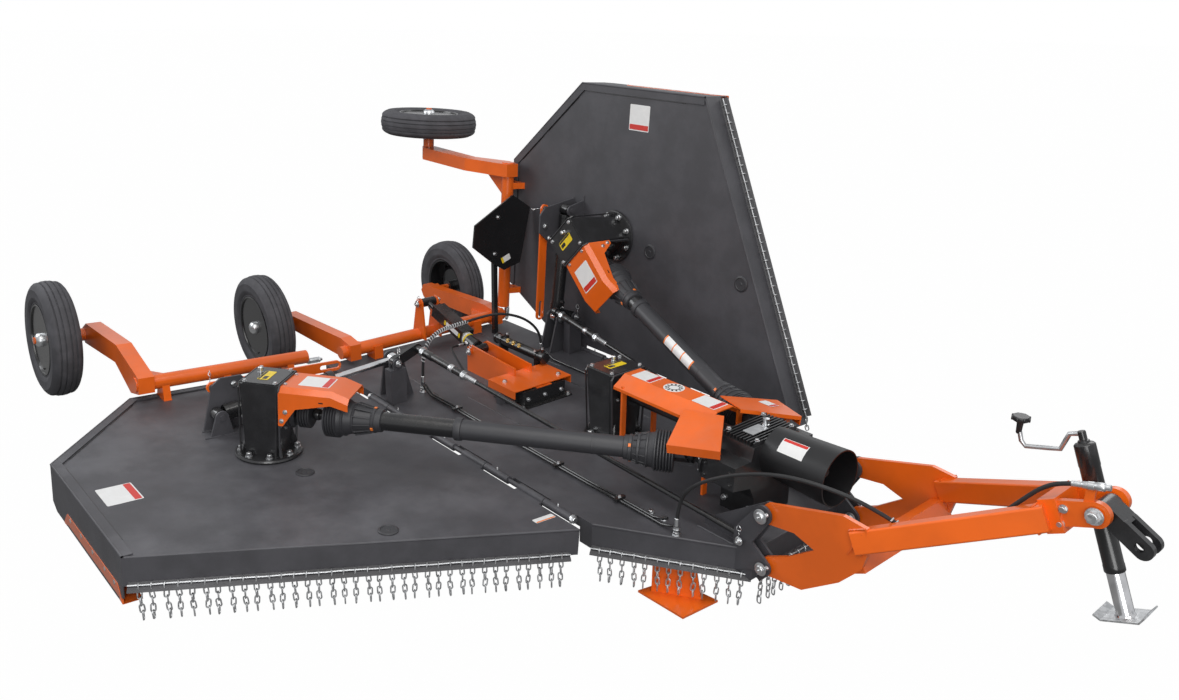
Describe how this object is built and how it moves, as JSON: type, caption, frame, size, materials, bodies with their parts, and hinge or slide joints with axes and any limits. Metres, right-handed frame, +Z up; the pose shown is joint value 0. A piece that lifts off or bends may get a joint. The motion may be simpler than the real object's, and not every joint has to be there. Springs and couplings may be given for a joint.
{
  "type": "flex-wing rotary cutter",
  "caption": "Tractor-towed folding rotary cutter with a centre deck, two hinged wing decks, three bladed spindles, gauge wheels, a tongue with hitch clevis and a screw jack.",
  "frame": {"origin": "front end of the input shaft, on its axis", "axes": "+X forwards to the hitch along the input shaft, +Y to the machine's left, +Z up"},
  "size_m": [5.553, 3.5001, 1.9681],
  "materials": {
    "black_casting": "gloss black over a casting",
    "black_paint": "gloss black",
    "black_plastic": "fine texture",
    "blade_steel": "worn",
    "charcoal_paint": "textured charcoal",
    "chrome_plate": "plated",
    "galvanised": "galvanised",
    "hose_rubber": "matte",
    "orange_paint": "bright orange, gloss",
    "rim_paint": "gloss black",
    "tyre": "ribbed matte rubber"
  },
  "bodies": {
    "centre": {"centre_axle": "orange_paint", "centre_chains": "galvanised", "centre_deck": "charcoal_paint", "centre_gearbox": "black_casting", "centre_shield": "orange_paint", "centre_shoe_left": "orange_paint", "centre_shoe_right": "orange_paint", "divider_gearbox": "black_casting", "hose_cross": "hose_rubber", "hose_lift": "hose_rubber", "hose_tongue": "hose_rubber", "input_shield": "black_plastic", "jack_body": "black_paint", "levelling_rod_left": "black_paint", "levelling_rod_right": "black_paint", "lift_anchor": "orange_paint", "lift_cylinder": "black_paint", "lift_lock": "black_paint", "oil_divider": "black_paint", "sign_bracket": "black_paint", "tongue": "orange_paint"},
    "wing_right": {"lock_bar_right": "orange_paint", "wing_right_axle": "orange_paint", "wing_right_chains": "galvanised", "wing_right_deck": "charcoal_paint", "wing_right_gearbox": "black_casting", "wing_right_shield": "orange_paint", "wing_right_shoe": "orange_paint"},
    "blades_right": {"blades_right": "blade_steel"},
    "wheel_wing_right": {"tyre_wing_right": "tyre", "rim_wing_right": "rim_paint"},
    "drive_swivel_right": {"drive_swivel_right": "black_paint"},
    "drive_tube_right": {"drive_tube_right": "black_plastic"},
    "drive_shaft_right": {"drive_shaft_right": "black_paint"},
    "fold_barrel_right": {"fold_barrel_right": "black_paint"},
    "fold_rod_right": {"fold_rod_right": "chrome_plate"},
    "wing_left": {"lock_bar_left": "orange_paint", "wing_left_axle": "orange_paint", "wing_left_chains": "galvanised", "wing_left_deck": "charcoal_paint", "wing_left_gearbox": "black_casting", "wing_left_shield": "orange_paint", "wing_left_shoe": "orange_paint"},
    "blades_left": {"blades_left": "blade_steel"},
    "wheel_wing_left": {"tyre_wing_left": "tyre", "rim_wing_left": "rim_paint"},
    "drive_swivel_left": {"drive_swivel_left": "black_paint"},
    "drive_tube_left": {"drive_tube_left": "black_plastic"},
    "drive_shaft_left": {"drive_shaft_left": "black_paint"},
    "fold_barrel_left": {"fold_barrel_left": "black_paint"},
    "fold_rod_left": {"fold_rod_left": "chrome_plate"},
    "blades_centre": {"blades_centre": "blade_steel"},
    "wheel_centre_right": {"tyre_centre_right": "tyre", "rim_centre_right": "rim_paint"},
    "wheel_centre_left": {"tyre_centre_left": "tyre", "rim_centre_left": "rim_paint"},
    "hitch_clevis": {"hitch_clevis": "black_casting"},
    "jack_leg": {"jack_leg": "chrome_plate"}
  },
  "joints": [
    {"name": "fold_right", "type": "hinge", "parent": "centre", "child": "wing_right", "pos_m": [-0.692, -0.726, -0.301], "axis": [-1, 0, 0], "range_deg": [-19.2, 83.8]},
    {"name": "spindle_right", "type": "hinge", "parent": "wing_right", "child": "blades_right", "pos_m": [-2.12, -1.51587, -0.24299], "axis": [0, 0.0732, 0.9973], "continuous": true},
    {"name": "wheel_spin_wing_right", "type": "hinge", "parent": "wing_right", "child": "wheel_wing_right", "pos_m": [-3.976, -1.98876, -0.07391], "axis": [0, 0.9973, -0.0732], "continuous": true},
    {"name": "drive_lift_right", "type": "hinge", "parent": "centre", "child": "drive_swivel_right", "pos_m": [-0.558, -0.223, -0.056], "axis": [-1, 0, 0], "range_deg": [-12.09, 49.38]},
    {"name": "drive_swing_right", "type": "hinge", "parent": "drive_swivel_right", "child": "drive_tube_right", "pos_m": [-0.558, -0.223, -0.056], "axis": [0, 0.0209, 0.9998], "range_deg": [-17.52, 4.79]},
    {"name": "drive_slide_right", "type": "slide", "parent": "drive_tube_right", "child": "drive_shaft_right", "axis": [-0.78, -0.6256, 0.0131], "range_m": [-0.2941, 0.0712]},
    {"name": "fold_barrel_swing_right", "type": "hinge", "parent": "wing_right", "child": "fold_barrel_right", "pos_m": [-2.47, -1.61662, -0.14034], "axis": [-1, 0, 0], "range_deg": [-1.74, 1.17]},
    {"name": "fold_rod_slide_right", "type": "slide", "parent": "fold_barrel_right", "child": "fold_rod_right", "axis": [0, 0.9986, 0.0534], "range_m": [-0.3275, 0.0789]},
    {"name": "fold_left", "type": "hinge", "parent": "centre", "child": "wing_left", "pos_m": [-0.692, 0.726, -0.301], "axis": [1, 0, 0], "range_deg": [-102, 1]},
    {"name": "spindle_left", "type": "hinge", "parent": "wing_left", "child": "blades_left", "pos_m": [-2.12, 0.76745, 0.48991], "axis": [0, -0.9986, 0.0523], "continuous": true},
    {"name": "wheel_spin_wing_left", "type": "hinge", "parent": "wing_left", "child": "wheel_wing_left", "pos_m": [-3.976, 0.65896, 0.98026], "axis": [0, 0.0523, 0.9986], "continuous": true},
    {"name": "drive_lift_left", "type": "hinge", "parent": "centre", "child": "drive_swivel_left", "pos_m": [-0.558, 0.223, -0.056], "axis": [1, 0, 0], "range_deg": [-62.57, 1.6]},
    {"name": "drive_swing_left", "type": "hinge", "parent": "drive_swivel_left", "child": "drive_tube_left", "pos_m": [-0.558, 0.223, -0.056], "axis": [0, 0.7805, -0.6251], "range_deg": [-1.23, 23.95]},
    {"name": "drive_slide_left", "type": "slide", "parent": "drive_tube_left", "child": "drive_shaft_left", "axis": [-0.9404, 0.2127, 0.2655], "range_m": [-0.0085, 0.3633]},
    {"name": "fold_barrel_swing_left", "type": "hinge", "parent": "wing_left", "child": "fold_barrel_left", "pos_m": [-2.47, 0.67823, 0.60274], "axis": [1, 0, 0], "range_deg": [-5.4, 1.04]},
    {"name": "fold_rod_slide_left", "type": "slide", "parent": "fold_barrel_left", "child": "fold_rod_left", "axis": [0, -0.1129, -0.9936], "range_m": [-0.0087, 0.3861]},
    {"name": "spindle_centre", "type": "hinge", "parent": "centre", "child": "blades_centre", "pos_m": [-1.286, 0, -0.301], "axis": [0, 0, 1], "continuous": true},
    {"name": "wheel_spin_centre_right", "type": "hinge", "parent": "centre", "child": "wheel_centre_right", "pos_m": [-3.87, -0.749, -0.234], "axis": [0, 1, 0], "continuous": true},
    {"name": "wheel_spin_centre_left", "type": "hinge", "parent": "centre", "child": "wheel_centre_left", "pos_m": [-3.87, 0.749, -0.234], "axis": [0, 1, 0], "continuous": true},
    {"name": "clevis_pivot", "type": "hinge", "parent": "centre", "child": "hitch_clevis", "pos_m": [1.062, 0, 0.307], "axis": [0, 1, 0], "range_deg": [-60, 25]},
    {"name": "jack_leg_slide", "type": "slide", "parent": "centre", "child": "jack_leg", "axis": [0.3908, 0, -0.9205], "range_m": [-0.12, 0.22]}
  ],
  "couplings": [
    {"joint": "drive_lift_right", "follows": "fold_right", "ratio": 0.57738},
    {"joint": "drive_swing_right", "follows": "fold_right", "ratio": -0.19718},
    {"joint": "drive_slide_right", "follows": "fold_right", "m_per_rad": -0.19768},
    {"joint": "fold_barrel_swing_right", "follows": "fold_right", "ratio": -0.0088},
    {"joint": "fold_rod_slide_right", "follows": "fold_right", "m_per_rad": -0.2205},
    {"joint": "drive_lift_left", "follows": "fold_left", "ratio": 0.60361},
    {"joint": "drive_swing_left", "follows": "fold_left", "ratio": -0.225},
    {"joint": "drive_slide_left", "follows": "fold_left", "m_per_rad": -0.20129},
    {"joint": "fold_barrel_swing_left", "follows": "fold_left", "ratio": 0.0431},
    {"joint": "fold_rod_slide_left", "follows": "fold_left", "m_per_rad": -0.2141}
  ]
}
